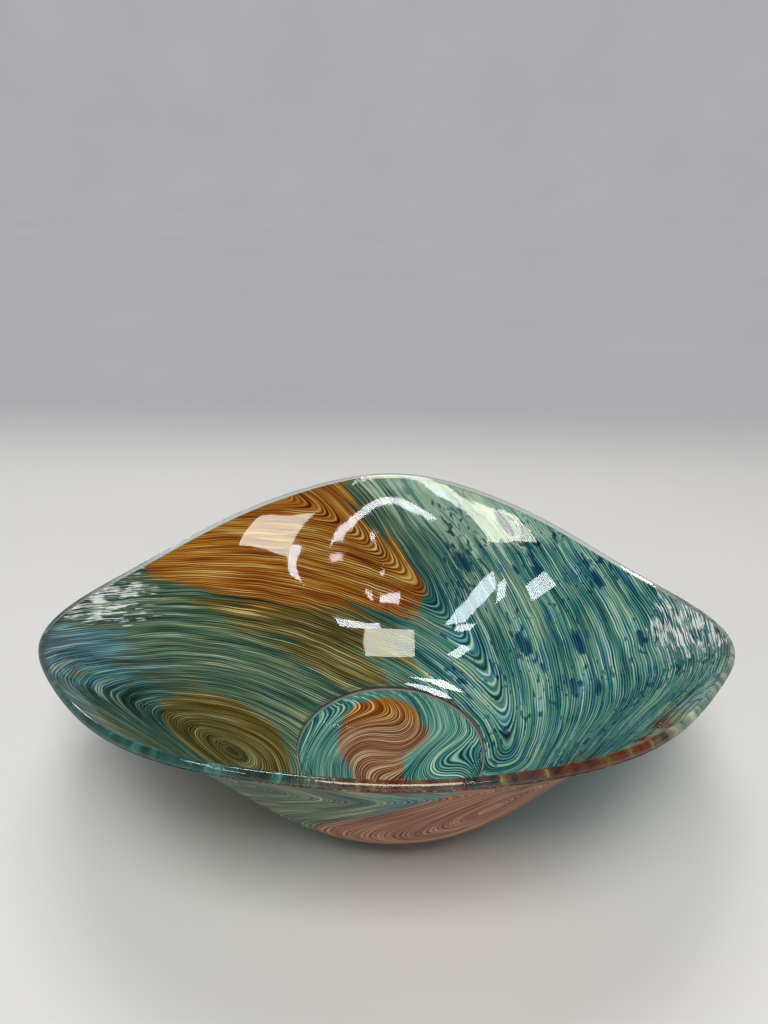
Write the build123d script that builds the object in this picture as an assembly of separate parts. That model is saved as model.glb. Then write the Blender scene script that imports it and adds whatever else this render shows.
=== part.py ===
"""Art glass bowl, in millimetres, +Z up.

A clear glass bowl, slumped to a wavy oval rim, stands on a low foot. Its outside carries coats of combed
enamel, each colour in its own patch, and the patches meet edge to edge. A disc of enamel lies in the
foot's recess. The origin is on the table, under the middle of the bowl's outline. +X runs along the bowl's
length, and -Y is its front.
"""

import math
import os

from build123d import *

# Rim: distance of the edge's outer corner from the foot's axis, as a mean and its lobes.
RIM_RADIUS = 161.0
RIM_SIDEWAYS = -3.9  # the outline leans this far towards -X
RIM_STRETCH = 17.5  # two lobes: longer along X, narrower along Y
RIM_TRIPLE = 2.8  # three lobes: the ends sweep back, towards +Y
RIM_FIVEFOLD = 0.8
RIM_FIVEFOLD_ALONG = 0.6
RIM_SIXFOLD = 2.0
RIM_EIGHTFOLD = 1.0

# Rim: height of the edge's outer corner above the table.
RIM_HEIGHT = 98.9
RIM_TILT = -8.0  # one lobe: the back's height over the mean, so below 0 the front is the higher side
RIM_LEAN = 0.7  # one lobe: the +X end stands this much higher than the mean
RIM_DROP = -15.0  # two lobes: the ends drop, the sides rise
RIM_DROP_TRIPLE = -9.3  # three lobes: the crest of the back is the highest point

# Wall: how far the belly runs out from the foot before it turns up, and how the lip flares at the edge.
BELLY_REACH = 31.9
BELLY_TWOFOLD = -12.9
BELLY_FOURFOLD = -7.1
BELLY_SLOPE = 6.0  # degrees
LIP_LENGTH = 39.0
LIP_SLOPE = 36.8  # degrees
LIP_TWOFOLD = -10.1  # degrees
LIP_FOURFOLD = 10.1  # degrees
GLASS_WALL = 4.0
EDGE_NOSE = 1.4  # how far the fire-rounded edge stands past the wall

# Foot and floor.
FOOT_RADIUS = 55.0  # where the wall leaves the foot
FOOT_HEIGHT = 2.4
FOOT_TAPER = 1.0  # the foot's side draws in this much on its way down
FOOT_X = 3.3  # the foot's axis stands this far off the middle of the outline
FOOT_Y = 2.0
STAND_WIDTH = 4.5  # the flat ring that the bowl stands on
RECESS_DEPTH = 1.6
FLOOR_THICKNESS = 3.6
LEDGE_WIDTH = 2.5  # the sloping ledge round the sunk floor

# Enamel.
ENAMEL = 0.4
COAT_CLEARANCE = 0.1  # between the glass and each coat on it
EDGING_WIDTH = 0.035  # share of the wall's curve that the dark edging covers
BASE_CLEARANCE = 0.6  # between the disc of enamel and the recess's side

# Patches of enamel, drawn in plan: (degrees round the bowl from +X, share of the way up the wall).
# Those past 1 lie outside the edge.
AMBER_PATCH = [
    (158, 1.05), (151, 0.82), (141, 0.62), (122, 0.47), (98, 0.41), (77, 0.46),
    (84, 0.62), (97, 0.78), (107, 1.05), (120, 1.2), (134, 1.2), (148, 1.2),
]
OLIVE_PATCH = [
    (171, 0.30), (178, 0.52), (194, 0.60), (212, 0.56), (224, 0.36), (217, 0.14), (195, 0.08), (178, 0.14),
]
ROSE_PATCH = [
    (283, 1.05), (273, 0.86), (260, 0.68), (251, 0.50), (255, 0.26), (276, 0.13), (301, 0.16),
    (320, 0.36), (335, 0.64), (348, 0.86), (355, 1.05), (340, 1.2), (320, 1.2), (300, 1.2),
]

# Deep blue flecks: (degrees round the bowl, share of the way up the wall, length, width, and the degrees
# that its length is turned from +X).
BLUE_FLECKS = [
    (58, 0.90, 17.0, 4.6, -48),
    (66, 0.66, 13.0, 4.0, -40),
    (43, 0.74, 15.0, 4.4, -58),
    (31, 0.88, 14.0, 4.2, -66),
    (36, 0.46, 16.0, 4.8, -62),
    (22, 0.62, 18.0, 4.6, -76),
    (11, 0.78, 13.0, 4.0, -86),
    (4, 0.56, 15.0, 4.4, -96),
]

# The copper swirl of the base: (degrees round the foot, share of the disc's radius).
COPPER_SWIRL = [
    (112, 0.90), (80, 0.86), (55, 0.66), (20, 0.46), (-50, 0.22), (-72, 0.62), (-82, 0.90),
    (-112, 0.90), (-125, 0.72), (-172, 0.60), (158, 0.68),
]

AROUND = 60  # points in each section round the wall
WALL_SECTIONS = 10
EDGING_SECTIONS = 3
NOSE_SECTIONS = 7


def rim_radius(angle):
    """Distance of the edge's outer corner from the foot's axis."""
    return (
        RIM_RADIUS
        + RIM_SIDEWAYS * math.cos(angle)
        + RIM_STRETCH * math.cos(2 * angle)
        + RIM_TRIPLE * math.sin(3 * angle)
        + RIM_FIVEFOLD * math.sin(5 * angle)
        + RIM_FIVEFOLD_ALONG * math.cos(5 * angle)
        + RIM_SIXFOLD * math.cos(6 * angle)
        + RIM_EIGHTFOLD * math.cos(8 * angle)
    )


def rim_height(angle):
    """Height of the edge's outer corner above the table."""
    return (
        RIM_HEIGHT
        + RIM_TILT * math.sin(angle)
        + RIM_LEAN * math.cos(angle)
        + RIM_DROP * math.cos(2 * angle)
        + RIM_DROP_TRIPLE * math.sin(3 * angle)
    )


def wall_curve(angle):
    """The four control points, as (radius, height), of the outer face's cubic curve from foot to edge."""
    radius, height = rim_radius(angle), rim_height(angle)
    reach = BELLY_REACH + BELLY_TWOFOLD * math.cos(2 * angle) + BELLY_FOURFOLD * math.cos(4 * angle)
    slope = math.radians(LIP_SLOPE + LIP_TWOFOLD * math.cos(2 * angle) + LIP_FOURFOLD * math.cos(4 * angle))
    return [
        (FOOT_RADIUS, FOOT_HEIGHT),
        (FOOT_RADIUS + reach, FOOT_HEIGHT + reach * math.tan(math.radians(BELLY_SLOPE))),
        (radius - LIP_LENGTH * math.cos(slope), height - LIP_LENGTH * math.sin(slope)),
        (radius, height),
    ]


def wall_point(angle, share, depth=0.0, past=0.0):
    """A point of the wall: share of the way up, depth inside the outer face, and past it along the wall."""
    curve = wall_curve(angle)
    rest = 1 - share
    weights = (rest**3, 3 * rest * rest * share, 3 * rest * share * share, share**3)
    radius = sum(weight * point[0] for weight, point in zip(weights, curve))
    height = sum(weight * point[1] for weight, point in zip(weights, curve))
    steps = [(end[0] - start[0], end[1] - start[1]) for start, end in zip(curve, curve[1:])]
    weights = (rest * rest, 2 * rest * share, share * share)
    out = sum(weight * step[0] for weight, step in zip(weights, steps))
    up = sum(weight * step[1] for weight, step in zip(weights, steps))
    length = math.hypot(out, up)
    out, up = out / length, up / length
    radius += past * out - depth * up
    height += past * up + depth * out
    return Vector(radius * math.cos(angle), radius * math.sin(angle), height)


def section(share, depth, past=0.0):
    """A closed smooth line round the bowl through the wall points with the same share, depth and past."""
    points = [wall_point(2 * math.pi * index / AROUND, share, depth, past) for index in range(AROUND)]
    knots = [index / AROUND for index in range(AROUND + 1)]
    return Wire([Edge.make_spline(points, periodic=True, parameters=knots)])


def shares(low, high, count):
    """Evenly spaced shares of the way up the wall, from low to high."""
    return [low + (high - low) * index / (count - 1) for index in range(count)]


def skin(sections, ruled=False):
    """The faces of the surface through these sections."""
    return Shell.make_loft(sections, ruled=ruled).faces()


def closed(faces):
    """The solid that these faces bound."""
    solid = Solid(Shell(faces))
    return solid if solid.volume > 0 else Solid(Shell([-face for face in faces]))


def recess_radius():
    """Radius of the recess under the foot."""
    return FOOT_RADIUS - FOOT_TAPER - STAND_WIDTH


def level_ring(radius, height):
    """A round line at this height."""
    return Wire([Edge.make_circle(radius, Plane.XY.offset(height))])


def glass_body():
    """The clear glass: wall, fire-rounded edge, sunk floor and foot."""
    outer = [section(share, 0.0) for share in shares(0.0, 1.0, WALL_SECTIONS)]
    inner = [section(share, GLASS_WALL) for share in shares(0.0, 1.0, WALL_SECTIONS)]
    turns = shares(0.0, math.pi, NOSE_SECTIONS)
    nose = [section(1.0, GLASS_WALL * (1 - math.cos(turn)) / 2, EDGE_NOSE * math.sin(turn)) for turn in turns]
    floor_radius = wall_point(0.0, 0.0, GLASS_WALL).X - LEDGE_WIDTH
    floor_edge = level_ring(floor_radius, RECESS_DEPTH + FLOOR_THICKNESS)
    foot_edge = level_ring(FOOT_RADIUS - FOOT_TAPER, 0)
    recess_edge = level_ring(recess_radius(), 0)
    recess_top = level_ring(recess_radius(), RECESS_DEPTH)
    ledge, foot_side, recess_side = ((inner[0], floor_edge), (outer[0], foot_edge), (recess_edge, recess_top))
    walls = [face for pair in (ledge, foot_side, recess_side) for face in skin(pair, ruled=True)]
    levels = [Face(floor_edge), Face(foot_edge, [recess_edge]), Face(recess_top)]
    return closed([*skin(outer), *skin(nose), *skin(inner), *walls, *levels])


def wall_coat(low, high, count):
    """A coat of enamel right round the outside of the wall, between two shares of the way up it."""
    inner = [section(share, -COAT_CLEARANCE) for share in shares(low, high, count)]
    outer = [section(share, -COAT_CLEARANCE - ENAMEL) for share in shares(low, high, count)]
    ends = [*skin([inner[0], outer[0]], ruled=True), *skin([inner[-1], outer[-1]], ruled=True)]
    return closed([*skin(inner), *skin(outer), *ends])


def column(outline):
    """A column over this plan outline, taller than the bowl."""
    return Solid.extrude(Face(Wire([outline])), Vector(0, 0, 2 * RIM_HEIGHT))


def smooth_column(points):
    """The column over the closed smooth line through these points, whatever their height."""
    return column(Edge.make_spline([Vector(point.X, point.Y, 0) for point in points], periodic=True))


def patch_column(patch):
    """The column over a patch that is given round and up the wall."""
    return smooth_column([wall_point(math.radians(degrees), share) for degrees, share in patch])


def fleck_columns():
    """The columns over the blue flecks."""
    columns = []
    for degrees, share, length, width, turned in BLUE_FLECKS:
        centre = wall_point(math.radians(degrees), share)
        place = Plane(origin=(centre.X, centre.Y, 0)).rotated((0, 0, turned))
        columns.append(column(Edge.make_ellipse(length / 2, width / 2, plane=place)))
    return columns


def base_coats():
    """The disc of enamel on the recess's ceiling, as the teal part and the copper swirl in it."""
    radius = recess_radius() - BASE_CLEARANCE
    disc = Solid.make_cylinder(radius, ENAMEL, Plane.XY.offset(RECESS_DEPTH - COAT_CLEARANCE - ENAMEL))
    points = [Vector(share * radius, 0, 0).rotate(Axis.Z, degrees) for degrees, share in COPPER_SWIRL]
    swirl = smooth_column(points)
    return disc - swirl, disc & swirl


def pieces():
    """Every piece of the bowl by its name, about the foot's axis."""
    field = wall_coat(0.0, 1 - EDGING_WIDTH, WALL_SECTIONS)
    amber, olive, rose = (patch_column(patch) for patch in (AMBER_PATCH, OLIVE_PATCH, ROSE_PATCH))
    flecks = fleck_columns()
    base_teal, base_copper = base_coats()
    return {
        "glass_body": glass_body(),
        "teal_enamel": field - amber - olive - rose - flecks,
        "amber_enamel": field & amber,
        "olive_enamel": field & olive,
        "rose_enamel": field & rose,
        "blue_flecks": Compound([solid for fleck in flecks for solid in (field & fleck).solids()]),
        "edging_enamel": wall_coat(1 - EDGING_WIDTH, 1.0, EDGING_SECTIONS),
        "base_teal_enamel": base_teal,
        "base_copper_enamel": base_copper,
    }


os.makedirs("parts", exist_ok=True)
for name, shape in pieces().items():
    export_step(shape.moved(Location((FOOT_X, FOOT_Y, 0))), f"parts/{name}.step")
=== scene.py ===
"""Art glass bowl: clear glass and combed enamel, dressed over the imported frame, in a plain studio.

Lengths are metres and +Z is up, as in the frame; +X runs along the bowl and -Y is its front. The bowl starts
as a flat round blank on a low foot. Slump says where each point of the blank lies once the glass has sagged
into its wavy form. The enamel is combed on the flat blank, so its lines follow the wall.
"""

import logging
import math
from dataclasses import dataclass
from enum import Enum
from functools import lru_cache
from typing import Any

import bmesh
import bpy
from mathutils import Matrix, Vector
from mathutils.bvhtree import BVHTree


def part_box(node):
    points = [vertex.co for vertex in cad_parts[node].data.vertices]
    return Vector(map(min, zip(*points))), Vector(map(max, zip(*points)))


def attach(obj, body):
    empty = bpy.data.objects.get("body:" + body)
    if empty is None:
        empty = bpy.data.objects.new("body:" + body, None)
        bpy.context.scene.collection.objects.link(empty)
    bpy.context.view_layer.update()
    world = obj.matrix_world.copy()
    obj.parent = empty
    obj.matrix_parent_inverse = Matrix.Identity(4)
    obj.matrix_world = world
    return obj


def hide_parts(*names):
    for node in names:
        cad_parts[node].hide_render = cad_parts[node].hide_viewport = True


log = logging.getLogger("bowl")
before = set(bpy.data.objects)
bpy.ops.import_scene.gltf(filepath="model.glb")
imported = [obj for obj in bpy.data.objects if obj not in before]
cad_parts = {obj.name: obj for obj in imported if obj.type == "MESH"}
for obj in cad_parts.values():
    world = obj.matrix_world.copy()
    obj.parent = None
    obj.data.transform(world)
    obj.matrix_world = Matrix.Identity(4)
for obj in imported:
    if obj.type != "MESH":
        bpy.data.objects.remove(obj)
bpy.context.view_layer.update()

MM = 0.001
SHEET_MAP = "flat_sheet"
SHEET_SPAN = 0.45  # the flat blank's map covers a square of this side, with the foot's axis in its middle
ZONE_REACH = 0.012  # how far from a colour's border its zone's distance is still measured
RIM = "rim"  # the attribute that holds the distance to the edge, in millimetres
SECTORS = 12  # a blank is spun as this many equal sectors
STEPS = 720  # steps of a blank's full turn
ROWS = 50  # cuts from the foot to the edge
WELD = 0.001 * MM  # points closer than this are one
SHARP = math.radians(40)  # a fold sharper than this is shaded as an edge
GAUSS = ((0.0694, 0.1739), (0.3300, 0.3261), (0.6700, 0.3261), (0.9306, 0.1739))  # four-point rule on 0 to 1


# -------------------- the form


@dataclass(frozen=True)
class Lobes:
    """A value that varies round the bowl: its mean, and lobes given as (how many, size)."""

    mean: float
    cosines: tuple[tuple[int, float], ...] = ()
    sines: tuple[tuple[int, float], ...] = ()

    def at(self, angle: float) -> float:
        """The value at an angle from +X, in radians."""
        along = sum(size * math.cos(count * angle) for count, size in self.cosines)
        across = sum(size * math.sin(count * angle) for count, size in self.sines)
        return self.mean + along + across


@dataclass(frozen=True, eq=False)
class Slump:
    """How the flat blank sags into the bowl.

    A blank's point is (radius, angle, level). Inside the foot's radius the blank keeps its shape. Outside it,
    the radius is read as a share of the way up the wall, and the level over the foot as depth in the wall.
    """

    axis: Vector
    rim_radius: Lobes = Lobes(
        0.1610, ((1, -0.0039), (2, 0.0175), (5, 0.0006), (6, 0.0020), (8, 0.0010)), ((3, 0.0028), (5, 0.0008))
    )
    rim_height: Lobes = Lobes(0.0989, ((1, 0.0007), (2, -0.0150)), ((1, -0.0080), (3, -0.0093)))
    belly_reach: Lobes = Lobes(0.0319, ((2, -0.0129), (4, -0.0071)))
    belly_slope: float = math.radians(6.0)
    lip_length: float = 0.0390
    lip_slope: Lobes = Lobes(36.8, ((2, -10.1), (4, 10.1)))
    foot_radius: float = 0.0550
    foot_height: float = 0.0024
    wall: float = 0.0040
    width: float = 0.1450  # of the blank's wall, from the foot to the edge

    @lru_cache(maxsize=None)
    def curve(self, angle: float) -> list[Vector]:
        """The control points, as (radius, height), of the wall's outer face at an angle."""
        radius, height = self.rim_radius.at(angle), self.rim_height.at(angle)
        reach, slope = self.belly_reach.at(angle), math.radians(self.lip_slope.at(angle))
        foot = Vector((self.foot_radius, self.foot_height))
        edge = Vector((radius, height))
        belly = foot + reach * Vector((1.0, math.tan(self.belly_slope)))
        return [foot, belly, edge - self.lip_length * Vector((math.cos(slope), math.sin(slope))), edge]

    @staticmethod
    def heading(curve: list[Vector], share: float) -> Vector:
        """Direction and speed of the wall's curve at a share of the way up it."""
        rest = 1 - share
        steps = [end - start for start, end in zip(curve, curve[1:])]
        return 3 * (rest * rest * steps[0] + 2 * rest * share * steps[1] + share * share * steps[2])

    def length(self, curve: list[Vector], share: float) -> float:
        """Length of the wall's curve from the foot to a share of the way up it."""
        return share * sum(weight * self.heading(curve, share * place).length for place, weight in GAUSS)

    def place(self, radius: float, angle: float, level: float) -> tuple[Vector, float]:
        """Where a blank's point lies in the bowl.

        Args:
            radius: distance from the foot's axis, on the blank.
            angle: direction from the foot's axis, in radians from +X.
            level: height in the blank.

        Returns:
            The point in the bowl, and its distance from the foot's axis along the wall.
        """
        ray = Vector((math.cos(angle), math.sin(angle), 0.0))
        beyond = radius - self.foot_radius
        if beyond <= 0:
            return self.axis + radius * ray + Vector((0.0, 0.0, level)), radius
        curve = self.curve(round(angle, 5))
        share = min(1.0, beyond / self.width)
        past = max(0.0, beyond - self.width)
        rest = 1 - share
        weights = (rest**3, 3 * rest * rest * share, 3 * rest * share * share, share**3)
        spot = sum((weight * point for weight, point in zip(weights, curve)), Vector((0.0, 0.0)))
        along = self.heading(curve, share).normalized()
        depth = level - self.foot_height
        spot += past * along + depth * Vector((-along.y, along.x))
        run = self.foot_radius + self.length(curve, share) + past
        return self.axis + spot.x * ray + Vector((0.0, 0.0, spot.y)), run


def frame_slump() -> Slump:
    """The slump about the foot's axis, which is the middle of the enamel disc under the foot."""
    low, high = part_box("base_teal_enamel")
    middle = (Vector(low) + Vector(high)) / 2
    return Slump(axis=Vector((middle.x, middle.y, 0.0)))


# -------------------- mesh helpers


def spun_blank(outline: list[tuple[float, float]], cuts: list[int]) -> bmesh.types.BMesh:
    """A closed blank, spun about Z from the outline of its section.

    Args:
        outline: corners as (radius, level). It is closed, unless it starts and ends on the axis.
        cuts: how many cuts each side of the outline gets, in the order of the corners.

    Returns:
        The blank's mesh, with normals outward and its seams and poles merged.
    """
    blank = bmesh.new()
    corners = [blank.verts.new((radius, 0.0, level)) for radius, level in outline]
    ends = corners[1:] + (corners[:1] if outline[0][0] > 0 else [])
    sides = [blank.edges.new(pair) for pair in zip(corners, ends)]
    for side, count in zip(sides, cuts):
        if count:
            bmesh.ops.subdivide_edges(blank, edges=[side], cuts=count)
    turn = {"axis": (0, 0, 1), "cent": (0, 0, 0)}
    sector = math.tau / SECTORS
    section = blank.verts[:] + blank.edges[:]
    bmesh.ops.spin(blank, geom=section, angle=sector, steps=STEPS // SECTORS, **turn)
    whole = blank.verts[:] + blank.edges[:] + blank.faces[:]
    bmesh.ops.spin(blank, geom=whole, angle=math.tau - sector, steps=SECTORS - 1, use_duplicate=True, **turn)
    bmesh.ops.remove_doubles(blank, verts=blank.verts[:], dist=WELD)
    bmesh.ops.dissolve_degenerate(blank, edges=blank.edges[:], dist=WELD)
    bmesh.ops.recalc_face_normals(blank, faces=blank.faces[:])
    return blank


def slumped(blank: bmesh.types.BMesh, slump: Slump) -> None:
    """Sag a blank into the bowl's form, map it to its flat sheet and mark how far its edge is."""
    sheet = blank.loops.layers.uv.new(SHEET_MAP)
    rim = blank.verts.layers.float.new(RIM)
    flat: dict[bmesh.types.BMVert, tuple[float, float]] = {}
    for vert in blank.verts:
        radius, angle = math.hypot(vert.co.x, vert.co.y), math.atan2(vert.co.y, vert.co.x)
        vert.co, run = slump.place(radius, angle, vert.co.z)
        vert[rim] = (slump.foot_radius + slump.width - radius) / MM
        flat[vert] = (run * math.cos(angle), run * math.sin(angle))
    for face in blank.faces:
        for loop in face.loops:
            x, y = flat[loop.vert]
            loop[sheet].uv = (0.5 + x / SHEET_SPAN, 0.5 + y / SHEET_SPAN)


def node_tree(name: str) -> BVHTree:
    """A search tree over a frame node's faces, where the node lies."""
    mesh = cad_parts[name].data
    points = [vert.co for vert in mesh.vertices]
    return BVHTree.FromPolygons(points, [face.vertices[:] for face in mesh.polygons])


def reach_to(tree: BVHTree, spot: Vector) -> float:
    """Distance from a spot to a node's faces, at most the zones' reach."""
    found = tree.find_nearest(spot, ZONE_REACH)[3]
    return ZONE_REACH if found is None else found


def mark_zones(blank: bmesh.types.BMesh, zones: dict[str, str], rest: str) -> None:
    """Give each point its distance inside each colour's zone, in millimetres, below 0 outside it.

    Args:
        blank: the coat's mesh, in place.
        zones: by the name of each new attribute, the frame's node that is its zone.
        rest: the frame's node that lies outside every zone.
    """
    trees = {name: node_tree(name) for name in (rest, *zones.values())}
    layers = {zone: blank.verts.layers.float.new(zone) for zone in zones}
    for vert in blank.verts:
        away = {name: reach_to(tree, vert.co) for name, tree in trees.items()}
        for zone, node in zones.items():
            outside = min(reach for name, reach in away.items() if name != node)
            vert[layers[zone]] = (outside - away[node]) / MM


def face_down(coat: bmesh.types.BMesh) -> None:
    """Give a coat's faces away from the glass, which look down and outward, its second material."""
    down = Vector((0.0, 0.0, -1.0))
    for face in coat.faces:
        middle = face.calc_center_median()
        outward = Vector((middle.x, middle.y, 0.0)).normalized()
        face.material_index = int(face.normal.dot(down + outward / 2) > 0)


def add_piece(mesh_in: bmesh.types.BMesh, name: str, materials: list[bpy.types.Material]) -> bpy.types.Object:
    """Make a smooth-shaded object of a finished bmesh, and put it on the bowl's body."""
    mesh = bpy.data.meshes.new(name)
    mesh_in.to_mesh(mesh)
    mesh_in.free()
    mesh.shade_smooth()
    mesh.set_sharp_from_angle(angle=SHARP)
    for material in materials:
        mesh.materials.append(material)
    piece = bpy.data.objects.new(name, mesh)
    bpy.context.collection.objects.link(piece)
    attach(piece, "root")
    log.info("%s: %d faces", name, len(mesh.polygons))
    return piece


# -------------------- shader maths


Number = Any  # a float or a Value
NOISE_SPREAD = 3.0  # a noise node keeps close to 0.5; this spreads it to about -1 to 1 round 0


@dataclass(frozen=True)
class Value:
    """A number in a material; arithmetic on it adds Math nodes."""

    recipe: "Recipe"
    socket: bpy.types.NodeSocket

    def __add__(self, other: Number) -> "Value":
        """Sum."""
        return self.recipe.math("ADD", self, other)

    __radd__ = __add__

    def __sub__(self, other: Number) -> "Value":
        """Difference."""
        return self.recipe.math("SUBTRACT", self, other)

    def __rsub__(self, other: Number) -> "Value":
        """Difference from a plain number."""
        return self.recipe.math("SUBTRACT", other, self)

    def __mul__(self, other: Number) -> "Value":
        """Product."""
        return self.recipe.math("MULTIPLY", self, other)

    __rmul__ = __mul__

    def __truediv__(self, other: Number) -> "Value":
        """Quotient."""
        return self.recipe.math("DIVIDE", self, other)

    def most(self, other: Number) -> "Value":
        """The greater of two numbers."""
        return self.recipe.math("MAXIMUM", self, other)

    def least(self, other: Number) -> "Value":
        """The lesser of two numbers."""
        return self.recipe.math("MINIMUM", self, other)

    def smooth_least(self, other: Number, blend: float) -> "Value":
        """The lesser of two numbers, rounded over where they meet."""
        return self.recipe.math("SMOOTH_MIN", self, other, blend)

    def rise(self, low: float, high: float) -> "Value":
        """A smooth step from 0 at low to 1 at high; high may be the lesser."""
        ends = {"From Min": min(low, high), "From Max": max(low, high)}
        ends |= {"To Min": float(low > high), "To Max": float(low < high)}
        smooth = {"interpolation_type": "SMOOTHSTEP"}
        made = self.recipe.node("ShaderNodeMapRange", smooth, {"Value": self} | ends)
        return Value(self.recipe, made.outputs[0])

    def scaled(self, low: float, high: float) -> "Value":
        """Low where this is 0, and high where it is 1."""
        return self * (high - low) + low


class Recipe:
    """The nodes of one material."""

    def __init__(self, name: str) -> None:
        """Start an empty material."""
        self.material = bpy.data.materials.new(name)
        self.material.use_nodes = True
        self.tree = self.material.node_tree
        self.tree.nodes.clear()

    def node(self, kind: str, settings: dict[str, Any], inputs: dict[Any, Any]) -> bpy.types.Node:
        """Add a node.

        Args:
            kind: the node's type.
            settings: its properties, set first; "stops" are a ramp's (position, colour) pairs.
            inputs: values or links of its sockets, by name or number.

        Returns:
            The node.
        """
        made = self.tree.nodes.new(kind)
        for key, value in settings.items():
            if key == "stops":
                self.set_stops(made.color_ramp, value)
            else:
                setattr(made, key, value)
        for key, value in inputs.items():
            if isinstance(value, Value):
                value = value.socket
            if isinstance(value, bpy.types.NodeSocket):
                self.tree.links.new(value, made.inputs[key])
            else:
                made.inputs[key].default_value = value
        return made

    @staticmethod
    def set_stops(ramp: bpy.types.ColorRamp, stops: list[tuple[float, tuple[float, ...]]]) -> None:
        """Give a ramp its stops."""
        while len(ramp.elements) < len(stops):
            ramp.elements.new(1.0)
        for element, (position, colour) in zip(ramp.elements, stops):
            element.position = position
            element.color = colour

    def place(self, x: Number, y: Number, z: Number) -> bpy.types.NodeSocket:
        """A vector of three numbers."""
        return self.node("ShaderNodeCombineXYZ", {}, {0: x, 1: y, 2: z}).outputs[0]

    def parts(self, vector: bpy.types.NodeSocket) -> tuple[Value, Value, Value]:
        """The three numbers of a vector."""
        made = self.node("ShaderNodeSeparateXYZ", {}, {0: vector})
        return tuple(Value(self, output) for output in made.outputs)

    def math(self, operation: str, *operands: Number) -> Value:
        """A Math node on two or three numbers."""
        made = self.node("ShaderNodeMath", {"operation": operation}, dict(enumerate(operands)))
        return Value(self, made.outputs[0])

    def vector(self, operation: str, output: str, *operands: Any) -> bpy.types.NodeSocket:
        """A Vector Math node."""
        made = self.node("ShaderNodeVectorMath", {"operation": operation}, dict(enumerate(operands)))
        return made.outputs[output]

    def attribute(self, name: str) -> Value:
        """A number stored on the mesh."""
        made = self.node("ShaderNodeAttribute", {"attribute_name": name}, {})
        return Value(self, made.outputs["Fac"])

    def sheet(self) -> bpy.types.NodeSocket:
        """The place on the flat sheet, in millimetres from the foot's axis."""
        made = self.node("ShaderNodeUVMap", {"uv_map": SHEET_MAP}, {})
        span = SHEET_SPAN / MM
        middled = self.vector("SUBTRACT", "Vector", made.outputs[0], (0.5, 0.5, 0.0))
        return self.vector("MULTIPLY", "Vector", middled, (span, span, 0.0))

    def noise(self, place: bpy.types.NodeSocket, detail: float) -> Value:
        """Noise about 0, from about -1 to 1, whose grain is one unit of the place."""
        settings = {"Vector": place, "Scale": 1.0, "Detail": detail, "Roughness": 0.5}
        made = self.node("ShaderNodeTexNoise", {"noise_dimensions": "3D"}, settings)
        return (Value(self, made.outputs[0]) - 0.5) * NOISE_SPREAD

    def blotches(self, x: Value, y: Value, size: float, seed: float, detail: float) -> Value:
        """Noise about 0 in blotches over the sheet.

        Args:
            x: place along the sheet, in millimetres.
            y: place across the sheet, in millimetres.
            size: size of a blotch, in millimetres.
            seed: which blotches; each number gives others.
            detail: octaves of finer blotches in them.

        Returns:
            The noise, from about -1 to 1.
        """
        return self.noise(self.place(x / size, y / size, seed), detail)

    def ramp(self, value: Value, enamel: "Enamel") -> bpy.types.NodeSocket:
        """A colour from an enamel's evenly spaced row of colours."""
        last = len(enamel.row) - 1
        stops = [(index / last, linear(colour)) for index, colour in enumerate(enamel.row)]
        return self.node("ShaderNodeValToRGB", {"label": enamel.name, "stops": stops}, {0: value}).outputs[0]

    def blend(self, share: Number, under: Any, over: Any) -> bpy.types.NodeSocket:
        """Mix two colours."""
        return self.node("ShaderNodeMix", {"data_type": "RGBA"}, {0: share, 6: under, 7: over}).outputs[2]

    def layer(self, share: Number, under: bpy.types.Node, over: bpy.types.Node) -> bpy.types.Node:
        """Mix two shaders."""
        return self.node("ShaderNodeMixShader", {}, {0: share, 1: under.outputs[0], 2: over.outputs[0]})

    def finish(self, shader: bpy.types.Node) -> bpy.types.Material:
        """Wire a shader to the output."""
        self.node("ShaderNodeOutputMaterial", {}, {"Surface": shader.outputs[0]})
        return self.material


def linear(colour: str) -> tuple[float, float, float, float]:
    """Linear RGBA of a colour written as rrggbb."""
    parts = [part / 255 for part in bytes.fromhex(colour)]
    return (*(part / 12.92 if part <= 0.04045 else ((part + 0.055) / 1.055) ** 2.4 for part in parts), 1.0)


# -------------------- the combing


@dataclass(frozen=True)
class Spot:
    """A round or oval spot on the flat sheet, in millimetres and degrees."""

    x: float
    y: float
    along: float
    across: float
    turned: float = 0.0

    def away(self, recipe: Recipe, place: bpy.types.NodeSocket) -> Value:
        """Distance from the spot's middle, 1 at its border."""
        made = recipe.node(
            "ShaderNodeMapping",
            {"vector_type": "TEXTURE"},
            {
                "Vector": place,
                "Location": (self.x, self.y, 0.0),
                "Rotation": (0.0, 0.0, math.radians(self.turned)),
                "Scale": (self.along, self.across, 1.0),
            },
        )
        return Value(recipe, recipe.vector("LENGTH", "Value", made.outputs[0]))

    def cover(self, recipe: Recipe, place: bpy.types.NodeSocket, full: float = 0.3) -> Value:
        """Cover of the spot: none at its border, and whole inside a share of it."""
        return self.away(recipe, place).rise(1.0, full)


@dataclass(frozen=True)
class Lobe:
    """Ovals about a spot's middle, counted in millimetres across the spot."""

    spot: Spot
    start: float = 0.0  # the count in the middle
    blend: float = 0.0  # how softly the lobe joins the lines round it
    rising: bool = True  # whether the count rises outwards

    def lines(self, recipe: Recipe, place: bpy.types.NodeSocket) -> Value:
        """The count of the lobe's ovals."""
        count = self.spot.away(recipe, place) * self.spot.across
        return self.start + count if self.rising else self.start - count


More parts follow.
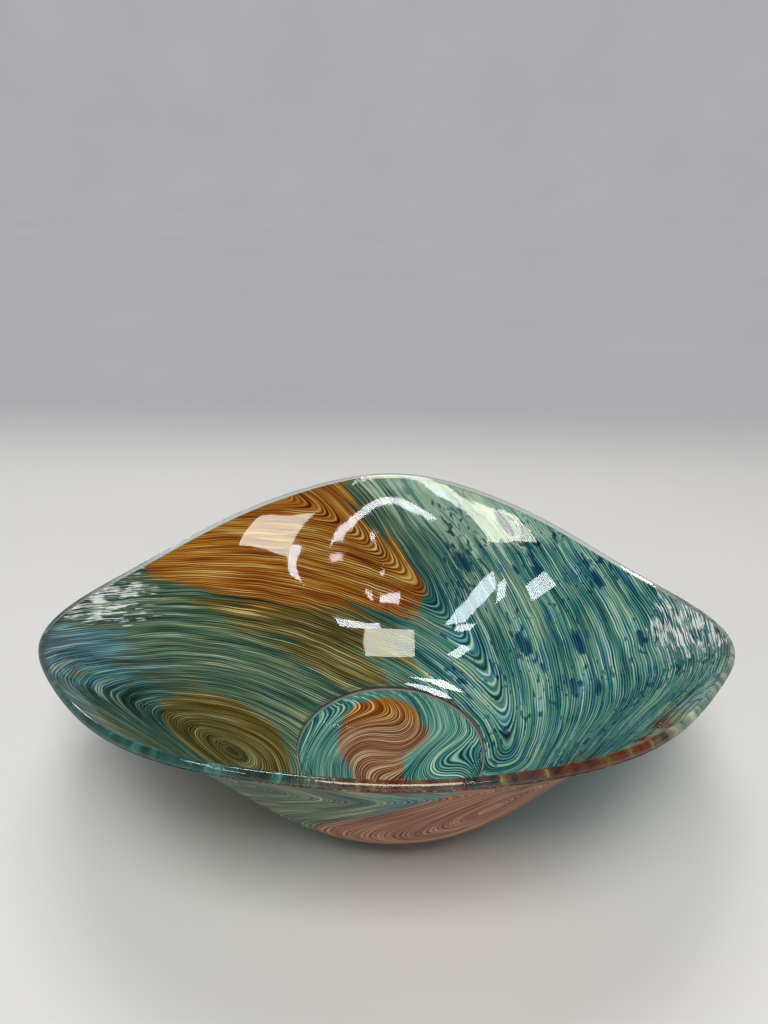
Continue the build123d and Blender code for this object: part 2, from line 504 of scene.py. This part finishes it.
@dataclass(frozen=True)
class Combing:
    """The paths that the comb took through the wet enamel.

    Lobes meet smoothly, each where its count is the least, so a rising and a falling one meet in hairpins.
    Each swirl turns the sheet about its own middle, most there and not at all past its border. The hand
    wanders slowly, and trembles a tenth as far.
    """

    lobes: tuple[Lobe, ...]
    swirls: tuple[tuple[Spot, float], ...] = ()  # spots, and how many degrees each turns
    wander: float = 2.4  # millimetres
    wander_size: float = 60.0
    tremble_size: float = 15.0

    def lines(self, recipe: Recipe, sheet: bpy.types.NodeSocket) -> Value:
        """A number that stays the same along each combed line, and changes by 1 in about a millimetre."""
        place = sheet
        for spot, degrees in self.swirls:
            turn = spot.away(recipe, sheet).rise(1.0, 0.0) * math.radians(degrees)
            made = recipe.node(
                "ShaderNodeVectorRotate",
                {"rotation_type": "Z_AXIS"},
                {"Vector": place, "Center": (spot.x, spot.y, 0.0), "Angle": turn},
            )
            place = made.outputs[0]
        x, y, _ = recipe.parts(sheet)
        count = self.lobes[0].lines(recipe, place)
        for lobe in self.lobes[1:]:
            count = count.smooth_least(lobe.lines(recipe, place), lobe.blend)
        slow = recipe.blotches(x, y, self.wander_size, seed=3.0, detail=2.0)
        quick = recipe.blotches(x, y, self.tremble_size, seed=6.0, detail=1.0)
        return count + slow * self.wander + quick * (0.1 * self.wander)


WALL_COMBING = Combing(
    lobes=(
        Lobe(Spot(-92, -36, 116, 92, 28)),
        Lobe(Spot(-130, 60, 112, 100, -14), start=320.0, blend=18.0, rising=False),
        Lobe(Spot(50, -150, 62, 30, -27), blend=12.0),
    ),
)

BASE_COMBING = Combing(
    lobes=(Lobe(Spot(-300, 30, 1.0, 1.0)),),
    swirls=((Spot(-4, 4, 54, 62), 96.0), (Spot(34, -20, 34, 40), -42.0)),
    wander=1.6,
)


# -------------------- finishes


@dataclass(frozen=True)
class Enamel:
    """One colour of enamel, as a row of colours from the bottom of a combed line to its crest."""

    name: str
    row: tuple[str, ...]


TEAL = Enamel("teal", ("012e3b", "125a62", "3b7d78", "6a9f92", "a6c5ae", "dbe3c2"))
SEA = Enamel("sea", ("0a2a2c", "21463f", "45604c", "687a5e", "939673", "c6c4a4"))
DEEP = Enamel("deep", ("03181d", "0e3539", "1f4f4e", "396863", "62877b", "a2b7a2"))
OLIVE = Enamel("olive", ("241904", "45360a", "62501b", "7c6833", "998c5a", "c0b88f"))
AMBER = Enamel("amber", ("561500", "883203", "a3580c", "b97820", "cf9a46", "ecce8c"))
ROSE = Enamel("rose", ("40180b", "6c331d", "8a5136", "a87452", "c69b78", "dcc2a0"))
NAVY = Enamel("navy", ("020f26", "051c3e", "0a2e54", "114462", "1d5c70", "3a7a7c"))
SAND = Enamel("sand", ("355c50", "547d6b", "7a9682", "9aad92", "b6c2a3", "d6d9b8"))
CREAM = Enamel("cream", ("5f8f86", "8fb3a2", "b3c8b2", "cbd6bd", "dde2cc", "ecefdf"))
BLUE = Enamel("blue", ("01203a", "0b4460", "286a80", "5593a0", "93bdbd", "d2dccb"))
# russet and ink also colour the painted shade line along the edge
RUSSET = Enamel("russet", ("1a0805", "34110a", "511f10", "6d3317", "8d5424", "b08643"))
# edge_teal and edge_brown colour only the painted reflection in the glass edge
EDGE_TEAL = Enamel("edge_teal", ("051f20", "0c3735", "17504a", "33706a", "6f9c8c"))
EDGE_BROWN = Enamel("edge_brown", ("150402", "340b05", "571808", "66320f", "6a5a26", "8a8a52"))
INK = Enamel("ink", ("05161a", "0c2a2f", "153f43", "235655", "3f726a", "6f9786"))


class Side(Enum):
    """The two sides of a coat of enamel."""

    GLASS = "glass_side"
    BARE = "bare_side"


@dataclass(frozen=True)
class Surface:
    """How one side of the enamel shows its combed lines and takes the light."""

    contrast: float
    relief: float  # height of the combed lines
    roughness: float
    specular: float


SURFACES = {
    Side.GLASS: Surface(contrast=1.0, relief=0.06 * MM, roughness=0.5, specular=0.0),
    Side.BARE: Surface(contrast=0.85, relief=0.16 * MM, roughness=0.45, specular=0.15),
}


@dataclass(frozen=True)
class Wash:
    """A spot of another enamel, laid over the colours under it."""

    enamel: Enamel
    spot: Spot
    ragged: float  # how far its border breaks up, as a share of the spot
    cover: float = 1.0


class CombedLook:
    """The colours and lines that all coats share, on one side of a coat."""

    comb_pitch = 1.4  # millimetres between the comb's teeth
    comb_drift = 4.0  # how far the broad streaks shift the teeth's lines, in radians
    middle_tone = 0.44  # where the row of colours is read between the streaks

    def __init__(self, name: str, side: Side, combing: Combing) -> None:
        """Lay out the combed lines."""
        self.surface = SURFACES[side]
        self.recipe = Recipe(f"{name}_{side.value}")
        self.sheet = self.recipe.sheet()
        self.x, self.y, _ = self.recipe.parts(self.sheet)
        self.lines = combing.lines(self.recipe, self.sheet)
        self.broad = self.streak(9.0, 70.0, detail=2.0)
        self.middle = self.streak(2.6, 60.0, detail=1.0)
        self.fine = self.streak(0.7, 45.0, detail=1.0)
        drift = self.broad * self.comb_drift
        teeth = self.recipe.math("SINE", self.lines * (math.tau / self.comb_pitch) + drift)
        strands = self.broad * 0.17 + self.middle * 0.34 + self.fine * 0.54 + teeth * 0.23
        self.tone = strands * self.surface.contrast + self.middle_tone

    def streak(self, pitch: float, reach: float, detail: float = 0.0, seed: float = 0.0) -> Value:
        """Streaks along the combed lines.

        Args:
            pitch: width of a streak, in millimetres.
            reach: length of a streak, in millimetres.
            detail: octaves of finer streaks in it.
            seed: which streaks; each number gives others.

        Returns:
            The streaks, about 0.
        """
        place = self.recipe.place(self.lines / pitch, self.x / reach, self.y / reach + seed)
        return self.recipe.noise(place, detail)

    def zone(self, name: str, ragged: float, soft: float = 1.5) -> Value:
        """Cover of a colour's zone, whose border runs ragged along the combed lines.

        Args:
            name: the zone's attribute.
            ragged: how far the border strays, in millimetres.
            soft: half the width of the change across the border, in millimetres.

        Returns:
            The cover, from 0 to 1.
        """
        strays = self.broad * ragged + self.middle * (0.8 * ragged) + self.fine * (0.4 * ragged)
        return (self.recipe.attribute(name) + strays).rise(-soft, soft)

    def over(self, under: bpy.types.NodeSocket, enamel: Enamel, cover: Number) -> bpy.types.NodeSocket:
        """Lay one enamel over what is there."""
        return self.recipe.blend(cover, under, self.recipe.ramp(self.tone, enamel))

    def washed(self, under: bpy.types.NodeSocket, washes: tuple[Wash, ...]) -> bpy.types.NodeSocket:
        """Lay washes over what is there, their borders broken up along the combed lines."""
        for wash in washes:
            streaks = self.broad * wash.ragged + self.middle * (0.7 * wash.ragged)
            inside = (1 - wash.spot.away(self.recipe, self.sheet) + streaks).rise(0.0, 0.35)
            under = self.over(under, wash.enamel, inside * wash.cover)
        return under

    def finish(self, colour: bpy.types.NodeSocket, cover: Number) -> bpy.types.Material:
        """The coat's shader.

        Args:
            colour: colour of the enamel.
            cover: 1 where the enamel covers the glass, 0 where the comb bared it.

        Returns:
            The material.
        """
        grooves = {"Strength": 0.5, "Distance": self.surface.relief, "Height": self.tone}
        relief = self.recipe.node("ShaderNodeBump", {}, grooves)
        shader = self.recipe.node(
            "ShaderNodeBsdfPrincipled",
            {},
            {
                "Base Color": colour,
                "Roughness": self.surface.roughness,
                "Specular IOR Level": self.surface.specular,
                "Alpha": cover,
                "Normal": relief.outputs[0],
            },
        )
        return self.recipe.finish(shader)


class WallLook(CombedLook):
    """The colours of the wall, from the foot to the edge."""

    front_washes = (
        Wash(DEEP, Spot(-160, -42, 96, 74, -12), ragged=0.35, cover=0.85),
        Wash(BLUE, Spot(-186, -24, 38, 58), ragged=0.7, cover=0.7),
        Wash(OLIVE, Spot(-80, 96, 108, 34, -5), ragged=0.5),
        Wash(OLIVE, Spot(-38, 70, 40, 17, -14), ragged=0.5, cover=0.95),
    )
    rear_washes = (
        Wash(SEA, Spot(18, 150, 56, 60, 60), ragged=0.5, cover=0.45),
        Wash(CREAM, Spot(52, 172, 96, 26, -24), ragged=0.6, cover=0.75),
    )
    left_tip = Spot(-200, 46, 74, 44, 42)
    right_tip = Spot(198, 26, 52, 66)

    def __init__(self, side: Side) -> None:
        """Lay out the wall's combed lines, and find its right half and its edge."""
        super().__init__("wall_enamel", side, WALL_COMBING)
        self.rim = self.recipe.attribute(RIM)
        self.patch = self.recipe.blotches(self.x, self.y, 34, seed=7.0, detail=3.0)
        self.right = (self.x + self.broad * 18 + self.patch * 14).rise(-30, 45)

    def material(self) -> bpy.types.Material:
        """The wall's colours, laid one over another."""
        left = 1 - self.right
        rose = self.zone("rose", 3.0) * (self.x + self.broad * 14).rise(116, 84)
        dabs = self.streak(6, 22, detail=1.0, seed=9.0) + self.middle * 0.4 + self.fine * 0.2
        teal = self.recipe.ramp(self.tone, TEAL)
        colour = self.recipe.blend(self.right, self.recipe.ramp(self.tone, SEA), teal)
        colour = self.over(colour, SAND, self.sandy())
        colour = self.over(colour, BLUE, dabs.rise(0.1, 0.45) * self.right * 0.85)
        colour = self.over(colour, BLUE, (dabs - self.patch * 0.5).rise(0.5, 0.9) * left * 0.6)
        colour = self.washed(colour, self.front_washes)
        colour = self.over(colour, OLIVE, (self.patch + self.middle * 0.5).rise(0.4, 0.8) * left * 0.6)
        colour = self.washed(colour, self.rear_washes)
        colour = self.over(colour, CREAM, self.rear_edge() * 0.9)
        colour = self.over(colour, OLIVE, self.zone("olive", 6.0) * 0.95)
        colour = self.over(colour, AMBER, self.zone("amber", 7.0, 3.0))
        colour = self.over(colour, ROSE, rose)
        colour = self.over(colour, NAVY, self.flecks(self.right * (1 - rose)))
        return self.finish(self.lip(colour), 1 - self.bare_glass())

    def sandy(self) -> Value:
        """Cover of the sandy teal that comes and goes towards the right rear."""
        blots = (self.patch * 0.8 + self.broad * 0.6).rise(-0.3, 0.5)
        return blots * self.right * self.y.rise(0, 90) * 0.8

    def flecks(self, where: Value) -> Value:
        """Cover of the dark blue flecks, which lie along the lines in ragged dabs."""
        ragged = self.fine * 0.3 + self.middle * 0.3
        crowd = self.recipe.blotches(self.x, self.y, 40, seed=12.0, detail=0.0) * 0.5
        large = (self.streak(3, 8) + ragged + crowd).rise(0.7, 0.82) * where * 0.9
        small = (self.streak(1.4, 4, seed=40.0) + ragged + crowd).rise(0.86, 0.98) * where * 0.9
        laid = (self.recipe.attribute("fleck") + self.middle * 3.2 + self.fine * 2.6).rise(-0.5, 0.5)
        return large.most(small).most(laid)

    def rear_edge(self) -> Value:
        """Cover of the pale band along the rear edge, right of the amber."""
        along = self.x + self.patch * 18
        stretch = along.rise(-34, 4) * along.rise(150, 96) * self.y.rise(60, 110)
        return (15 - self.rim + self.middle * 6 + self.broad * 4).rise(0.0, 5.0) * stretch

    def lip(self, colour: bpy.types.NodeSocket) -> bpy.types.NodeSocket:
        """Add the marbled band on the front's lip, and a dark line of painted shade along the edge, which
        stands for the glass edge seen end-on and is darkest along the front.
        """
        marble = self.recipe.blotches(self.x, self.y, 12, seed=9.0, detail=3.0)
        along = self.x + marble * 14
        front = (self.y + marble * 8).rise(10, -50)
        stretch = (self.x + marble * 20).rise(30, 85) * front * along.rise(176, 150)
        band = (26.0 - self.rim + marble * 12).rise(0.0, 6.0) * stretch
        # painted shade: the dark line along the edge, darkest along the front
        line = (front * 1.5 + 0.9 - self.rim + self.middle * 0.5 + marble * 0.5).rise(-0.25, 0.35)
        brown = along.rise(-95, -45) * along.rise(165, 120)
        colour = self.over(colour, OLIVE, band * 0.8)
        colour = self.over(colour, RUSSET, (band * 1.2 + marble * 0.9 - 1.05).rise(0.0, 0.3) * band)
        # the painted shade line: ink-dark over the teal, russet over the brown
        colour = self.over(colour, INK, line * (1 - brown) * front.scaled(0.1, 0.9))
        return self.over(colour, RUSSET, line * brown * front.scaled(0.1, 0.95))

    def bare_glass(self) -> Value:
        """Where the comb bared the glass: short dashes that crowd together at the two tips."""
        dashes = self.streak(0.45, 16, detail=1.0, seed=20.0) * 0.9
        breaks = self.streak(6, 12, detail=2.0, seed=60.0) * 0.5
        left = self.left_tip.cover(self.recipe, self.sheet)
        tips = left.most(self.right_tip.cover(self.recipe, self.sheet)) * 1.15
        left_side = self.x.rise(-20, -100) * 0.14
        return (dashes + breaks + tips + left_side - 1.16).rise(-0.12, 0.12)


class BaseLook(CombedLook):
    """The colours under the foot: an S of copper through teal."""

    dark = Spot(-34, -30, 24, 30, 20)

    def __init__(self, side: Side) -> None:
        """Lay out the base's combed lines."""
        super().__init__("base_enamel", side, BASE_COMBING)

    def material(self) -> bpy.types.Material:
        """The base's colours, laid one over another."""
        copper = self.zone("copper", 2.5)
        gold = (self.y + self.broad * 8).rise(12, 34) * copper
        strokes = (self.middle + self.fine * 0.5).rise(-0.1, 0.4)
        charcoal = self.dark.cover(self.recipe, self.sheet, 0.5) * strokes
        colour = self.over(self.recipe.ramp(self.tone, TEAL), ROSE, copper)
        colour = self.over(colour, AMBER, gold * 0.8)
        return self.finish(self.over(colour, INK, charcoal * 0.8), 1.0)


# -------------------- pieces


@dataclass(frozen=True)
class CoatSizes:
    """Sizes that all coats of enamel share."""

    depth: float = 0.3 * MM
    clearance: float = 0.1 * MM  # between the glass and the coat
    edging: float = 0.035  # the edging's share of the wall's width

    def edging_start(self, slump: Slump) -> float:
        """The blank's radius where the wall's coat ends and the edging starts."""
        return slump.foot_radius + slump.width * (1 - self.edging)

    def strip(self, slump: Slump, low: float, high: float) -> list[tuple[float, float]]:
        """A coat's outline under the blank's wall, between two radii."""
        top = slump.foot_height - self.clearance
        return [(low, top - self.depth), (high, top - self.depth), (high, top), (low, top)]


COAT = CoatSizes()
GAP = 0.05 * MM  # left between neighbouring pieces
WALL_ZONES = {"amber": "amber_enamel", "olive": "olive_enamel", "rose": "rose_enamel", "fleck": "blue_flecks"}


@dataclass(frozen=True)
class WallCoat:
    """The combed enamel on the outside of the wall."""

    slump: Slump

    def build(self, materials: list[bpy.types.Material]) -> bpy.types.Object:
        """Build the coat in the space of its frame nodes.

        Args:
            materials: for the glass side, then the bare side.

        Returns:
            The piece.
        """
        low, high = self.slump.foot_radius + GAP, COAT.edging_start(self.slump)
        blank = spun_blank(COAT.strip(self.slump, low, high), [ROWS, 0, ROWS, 0])
        slumped(blank, self.slump)
        mark_zones(blank, WALL_ZONES, "teal_enamel")
        face_down(blank)
        piece = add_piece(blank, "combed_enamel", materials)
        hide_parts("teal_enamel", "amber_enamel", "olive_enamel", "rose_enamel", "blue_flecks")
        return piece


@dataclass(frozen=True)
class EdgeBand:
    """The band of enamel along the edge, which ends in a dark line of painted shade."""

    slump: Slump
    cuts: int = 5

    def build(self, materials: list[bpy.types.Material]) -> bpy.types.Object:
        """Build the band in the space of its frame node.

        Args:
            materials: for the glass side, then the bare side.

        Returns:
            The piece.
        """
        low, high = COAT.edging_start(self.slump), self.slump.foot_radius + self.slump.width - GAP
        blank = spun_blank(COAT.strip(self.slump, low, high), [self.cuts, 0, self.cuts, 0])
        slumped(blank, self.slump)
        mark_zones(blank, WALL_ZONES, "teal_enamel")
        face_down(blank)
        piece = add_piece(blank, "edge_line", materials)
        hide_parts("edging_enamel")
        return piece


@dataclass(frozen=True)
class BaseCoat:
    """The combed enamel under the foot: in the recess, up its side and over the ring round it."""

    slump: Slump
    ring_border: float = 1.05 * MM  # bare glass outside the ring's enamel
    cuts: int = 24  # from the recess's middle to its side
    ring_cuts: int = 2  # across the ring

    def build(self, materials: list[bpy.types.Material]) -> bpy.types.Object:
        """Build the coat in the space of its frame nodes and over the ring.

        Args:
            materials: for the glass side, then the bare side.

        Returns:
            The piece.
        """
        low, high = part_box("base_teal_enamel")
        ring = self.slump.foot_radius - self.ring_border
        recess = (high[0] - low[0]) / 2
        film = COAT.depth / 2
        outline = [(0.0, low[2]), (recess, low[2]), (recess, 0.0), (ring, 0.0)]
        outline += [(ring, film), (recess + film, film), (recess + film, low[2] + film), (0.0, low[2] + film)]
        blank = spun_blank(outline, [self.cuts, 0, self.ring_cuts, 0, self.ring_cuts, 0, self.cuts])
        slumped(blank, self.slump)
        mark_zones(blank, {"copper": "base_copper_enamel"}, "base_teal_enamel")
        face_down(blank)
        piece = add_piece(blank, "base_enamel", materials)
        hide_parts("base_teal_enamel", "base_copper_enamel")
        return piece


@dataclass(frozen=True)
class Glass:
    """The clear glass: wall, fire-rounded edge, sunk floor and foot."""

    slump: Slump
    recess_depth: float = 1.6 * MM
    floor_level: float = 5.2 * MM
    ledge: float = 2.5 * MM  # run of the slope round the floor
    stand: float = 4.5 * MM  # width of the ring that it stands on
    taper: float = 1.0 * MM  # how far the foot draws in on its way down
    nose: float = 1.4 * MM  # how far the rounded edge stands past the wall
    nose_steps: int = 8
    seam: float = 0.01 * MM  # between the foot's corners and where the wall starts
    ledge_top: float = 0.4 * MM  # between the ledge and the wall
    floor_cuts: int = 5
    wave: float = 0.22 * MM  # height of the glass's waves
    most_gloss: float = 0.14  # the greatest share of light that the glass throws back

    def build(self) -> bpy.types.Object:
        """Build the glass in the space of its frame node."""
        blank = spun_blank(*self.section())
        slumped(blank, self.slump)
        piece = add_piece(blank, "glass", [self.look()])
        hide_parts("glass_body")
        return piece

    def section(self) -> tuple[list[tuple[float, float]], list[int]]:
        """The blank's outline and its cuts, from the floor's middle over the edge to the recess's middle."""
        slump = self.slump
        edge = slump.foot_radius + slump.width
        under, over = slump.foot_height, slump.foot_height + slump.wall
        lift = COAT.depth / 2 + GAP
        recess = slump.foot_radius - self.taper - self.stand
        turns = [math.pi * step / self.nose_steps for step in range(1, self.nose_steps)]
        middle = (under + over) / 2
        half = slump.wall / 2
        nose = [(edge + self.nose * math.sin(turn), middle + half * math.cos(turn)) for turn in turns]
        start = slump.foot_radius + self.seam
        flat = slump.foot_radius - self.ledge - self.ledge_top
        outline = [(0.0, self.floor_level), (flat, self.floor_level)]
        outline += [(start, over), (edge, over), *nose, (edge, under), (start, under)]
        outline += [(slump.foot_radius - self.taper, lift), (recess, lift)]
        outline += [(recess, self.recess_depth), (0.0, self.recess_depth)]
        cuts = [self.floor_cuts, 0, ROWS] + [0] * (len(nose) + 1) + [ROWS, 0, 1, 0, self.floor_cuts]
        return outline, cuts

    def look(self) -> bpy.types.Material:
        """Clear glass: a painted reflection of the enamel in its rounded edge, painted shade over its foot's
        side, glossy on its front, and slightly wavy.
        """
        recipe = Recipe("clear_glass")
        x, y, _ = recipe.parts(recipe.sheet())
        rim = recipe.attribute(RIM)
        slow = recipe.blotches(x, y, 26, seed=2.0, detail=1.0)
        ripple = recipe.blotches(x, y, 6, seed=4.0, detail=1.0)
        height = slow + ripple * rim.rise(14, 0) * 0.7
        waves = recipe.node("ShaderNodeBump", {}, {"Strength": 0.25, "Distance": self.wave, "Height": height})
        normal = waves.outputs[0]
        clear = recipe.node("ShaderNodeBsdfTransparent", {}, {"Color": (0.95, 0.985, 0.975, 1.0)})
        # painted reflection: the rounded edge takes the enamel's colours, most along the front
        edge = rim.rise(0.3, -0.2) * (y + slow * 20).rise(120, 10).scaled(0.2, 0.8)
        wall = self.slump.width / MM
        # painted shade: a third of the same colour over the foot's side dims the bright ring there
        foot = rim.rise(wall - 1, wall) * rim.rise(wall + 2, wall + 1) * 0.35
        body = recipe.layer(edge + foot, clear, self.painted_edge_reflection(recipe, x, y, ripple))
        slant = recipe.node("ShaderNodeFresnel", {}, {"IOR": 1.5, "Normal": normal})
        inside = Value(recipe, recipe.node("ShaderNodeNewGeometry", {}, {}).outputs["Backfacing"])
        share = Value(recipe, slant.outputs[0]).least(self.most_gloss) * (1 - inside)
        shine = {"Color": (1.0, 1.0, 1.0, 1.0), "Roughness": 0.04, "Normal": normal}
        gloss = recipe.node("ShaderNodeBsdfAnisotropic", {}, shine)
        return recipe.finish(recipe.layer(share, body, gloss))

    @staticmethod
    def painted_edge_reflection(recipe: Recipe, x: Value, y: Value, ripple: Value) -> bpy.types.Node:
        """The painted reflection of the enamel in the glass edge: marbled teal, then brown, and sandy at the
        right tip.

        Args:
            recipe: the glass's recipe.
            x: place along the sheet, in millimetres.
            y: place across the sheet, in millimetres.
            ripple: noise that makes the colours meet unevenly.

        Returns:
            The shader.
        """
        marble = recipe.blotches(x, y, 7, seed=8.0, detail=3.0) * 0.8 + 0.45
        brown = (x + ripple * 16).rise(-70, -10)
        tip = (x + ripple * 10).rise(128, 158)
        tint = recipe.blend(brown, recipe.ramp(marble, EDGE_TEAL), recipe.ramp(marble, EDGE_BROWN))
        tint = recipe.blend(tip, tint, recipe.ramp(marble, SAND))
        matt = {"Base Color": tint, "Roughness": 0.4, "Specular IOR Level": 0.0}
        return recipe.node("ShaderNodeBsdfPrincipled", {}, matt)


# -------------------- studio


@dataclass(frozen=True)
class Lamp:
    """A rectangular lamp that faces the bowl, placed by its direction as seen from there."""

    name: str
    azimuth: float  # degrees from +Y towards +X
    elevation: float
    width: float
    height: float
    glow: float  # power given off by each square metre into each steradian
    colour: tuple[float, float, float]
    distance: float = 4.0
    aim: float = 0.04  # height of the spot that it faces
    mirrored: bool = True  # whether gloss shows it
    lights: bool = True  # whether matt surfaces take its light

    def hang(self) -> None:
        """Put the lamp up."""
        data = bpy.data.lights.new(self.name, "AREA")
        data.shape = "RECTANGLE"
        data.size, data.size_y = self.width, self.height
        data.energy = self.glow * math.pi * self.width * self.height
        data.color = self.colour
        lamp = bpy.data.objects.new(self.name, data)
        azimuth, elevation = math.radians(self.azimuth), math.radians(self.elevation)
        level = Vector((math.sin(azimuth), math.cos(azimuth), 0.0)) * math.cos(elevation)
        place = self.distance * (level + Vector((0.0, 0.0, math.sin(elevation))))
        towards = Vector((0.0, 0.0, self.aim)) - place
        lamp.matrix_world = Matrix.Translation(place) @ towards.to_track_quat("-Z", "Y").to_matrix().to_4x4()
        lamp.visible_camera = False
        lamp.visible_glossy = self.mirrored
        lamp.visible_diffuse = self.lights
        bpy.context.collection.objects.link(lamp)


WHITE = (1.0, 1.0, 1.0)
COOL = (0.86, 0.92, 1.0)
BLUISH = (0.80, 0.90, 1.0)
GREENISH = (0.90, 0.97, 1.0)
LILAC = (0.95, 0.94, 1.0)
PINK = (1.0, 0.84, 0.90)
CREAMY = (1.0, 0.97, 0.82)
WARM = (1.0, 0.985, 0.965)
LAMPS = (
    Lamp("soft_box", -12, 76, 0.90, 0.70, 6.0, WARM, distance=2.2, mirrored=False),
    Lamp("front_fill", 182, 62, 1.20, 0.80, 9.8, WARM, distance=2.2, mirrored=False),
    Lamp("right_window", 166, 44.5, 0.85, 0.22, 17.0, COOL, lights=False),
    Lamp("low_window", 179.5, 34.2, 0.40, 0.14, 17.0, LILAC, lights=False),
    Lamp("low_pane", 177, 30.0, 0.09, 0.04, 16.0, WHITE, lights=False),
    Lamp("pink_pane", 173, 33.5, 0.10, 0.16, 14.0, PINK, lights=False),
    Lamp("skylight", 178.5, 58, 1.20, 1.70, 12.0, CREAMY, lights=False),
    Lamp("left_window", -148, 41, 0.60, 0.36, 16.0, BLUISH, lights=False),
    Lamp("left_pane", -139, 45.5, 0.60, 0.17, 16.0, COOL, lights=False),
    Lamp("left_panel", -121, 57, 0.60, 0.60, 15.0, GREENISH, lights=False),
    Lamp("back_spot", -20, 64, 0.70, 0.75, 16.0, WHITE, lights=False),
    Lamp("low_strip", -28.5, 22, 0.45, 0.42, 16.0, GREENISH, lights=False),
)


@dataclass(frozen=True)
class Studio:
    """A round pale floor whose border turns up into a grey backdrop, the lamps and the camera."""

    reach: float = 4.6  # radius of the floor
    height: float = 2.4  # of the backdrop
    sweep: float = 0.5  # radius of the bend between them
    paper_back: float = 0.38  # where the pale paper starts to fade behind the bowl
    paper_side: float = 0.75  # and beside it and before it
    fade: float = 0.32  # how far the fading takes
    air: float = 0.17  # strength of the even light from all round
    eye: tuple[float, float, float] = (-0.0036, -0.3473, 0.3192)
    pitch: float = 25.31  # degrees below level
    yaw: float = -0.13  # degrees
    roll: float = 0.9  # degrees
    lens: float = 27.04  # millimetres

    def set_up(self) -> None:
        """Set up floor, light and camera."""
        self.lay_floor()
        for lamp in LAMPS:
            lamp.hang()
        self.fill()
        self.aim_camera()

    def lay_floor(self) -> None:
        """A round floor with a wall round it, and a wide round corner between them."""
        sheet = bmesh.new()
        bmesh.ops.create_circle(sheet, cap_ends=True, radius=self.reach, segments=96)
        fold = [edge for edge in sheet.edges if edge.is_boundary]
        made = bmesh.ops.extrude_edge_only(sheet, edges=fold)
        moved = [item for item in made["geom"] if isinstance(item, bmesh.types.BMVert)]
        bmesh.ops.translate(sheet, verts=moved, vec=(0, 0, self.height))
        bend = {"offset": self.sweep, "segments": 12, "profile": 0.5, "affect": "EDGES", "material": -1}
        bmesh.ops.bevel(sheet, geom=fold, **bend)
        bmesh.ops.recalc_face_normals(sheet, faces=sheet.faces[:])
        mesh = bpy.data.meshes.new("floor")
        sheet.to_mesh(mesh)
        sheet.free()
        mesh.shade_smooth()
        mesh.materials.append(self.paper())
        floor = bpy.data.objects.new("floor", mesh)
        bpy.context.collection.objects.link(floor)

    def paper(self) -> bpy.types.Material:
        """Pale matt paper, which fades into an even grey away from the bowl."""
        recipe = Recipe("pale_paper")
        x, y, z = recipe.parts(recipe.node("ShaderNodeTexCoord", {}, {}).outputs["Object"])
        mottle = recipe.noise(recipe.place(x * 3, y * 3, z * 3), 4.0).scaled(0.5, 1.0)
        colour = recipe.blend(mottle, linear("e6e5e2"), linear("ecebe9"))
        lit = recipe.node("ShaderNodeBsdfPrincipled", {}, {"Base Color": colour, "Roughness": 0.7})
        behind = y.rise(self.paper_back, self.paper_back + self.fade)
        beside = recipe.math("ABSOLUTE", x).rise(self.paper_side, self.paper_side + self.fade)
        before = y.rise(-self.paper_side, -self.paper_side - self.fade)
        far = 1 - (1 - behind) * (1 - beside) * (1 - before)
        ray = recipe.node("ShaderNodeLightPath", {}, {})
        seen = Value(recipe, ray.outputs["Is Camera Ray"]) + Value(recipe, ray.outputs["Is Glossy Ray"])
        seen = (seen + Value(recipe, ray.outputs["Is Transmission Ray"])).least(1.0)
        grey = recipe.blend(mottle, linear("a9a9ad"), linear("aeaeb1"))
        even = recipe.node("ShaderNodeEmission", {}, {"Color": grey, "Strength": 1.0})
        return recipe.finish(recipe.layer(seen * far, lit, even))

    def fill(self) -> None:
        """Even grey light from all round."""
        world = bpy.data.worlds.new("studio_air")
        world.use_nodes = True
        shade = world.node_tree.nodes["Background"]
        shade.inputs["Color"].default_value = (0.92, 0.96, 1.0, 1.0)
        shade.inputs["Strength"].default_value = self.air
        bpy.context.scene.world = world

    def aim_camera(self) -> None:
        """The camera in front of and above the bowl."""
        data = bpy.data.cameras.new("camera")
        data.lens = self.lens
        camera = bpy.data.objects.new("camera", data)
        turn = Matrix.Rotation(math.radians(self.yaw), 4, "Z")
        turn @= Matrix.Rotation(math.radians(90 - self.pitch), 4, "X")
        turn @= Matrix.Rotation(math.radians(self.roll), 4, "Z")
        camera.matrix_world = Matrix.Translation(self.eye) @ turn
        bpy.context.collection.objects.link(camera)
        bpy.context.scene.camera = camera


def main() -> None:
    """Dress the bowl and light it."""
    logging.basicConfig(level=logging.INFO, format="%(name)s: %(message)s")
    bpy.context.scene.view_settings.view_transform = "Standard"
    slump = frame_slump()
    wall = [WallLook(side).material() for side in Side]
    base = [BaseLook(side).material() for side in Side]
    Glass(slump).build()
    WallCoat(slump).build(wall)
    EdgeBand(slump).build(wall)
    BaseCoat(slump).build(base)
    Studio().set_up()


if __name__ == "__main__":
    main()
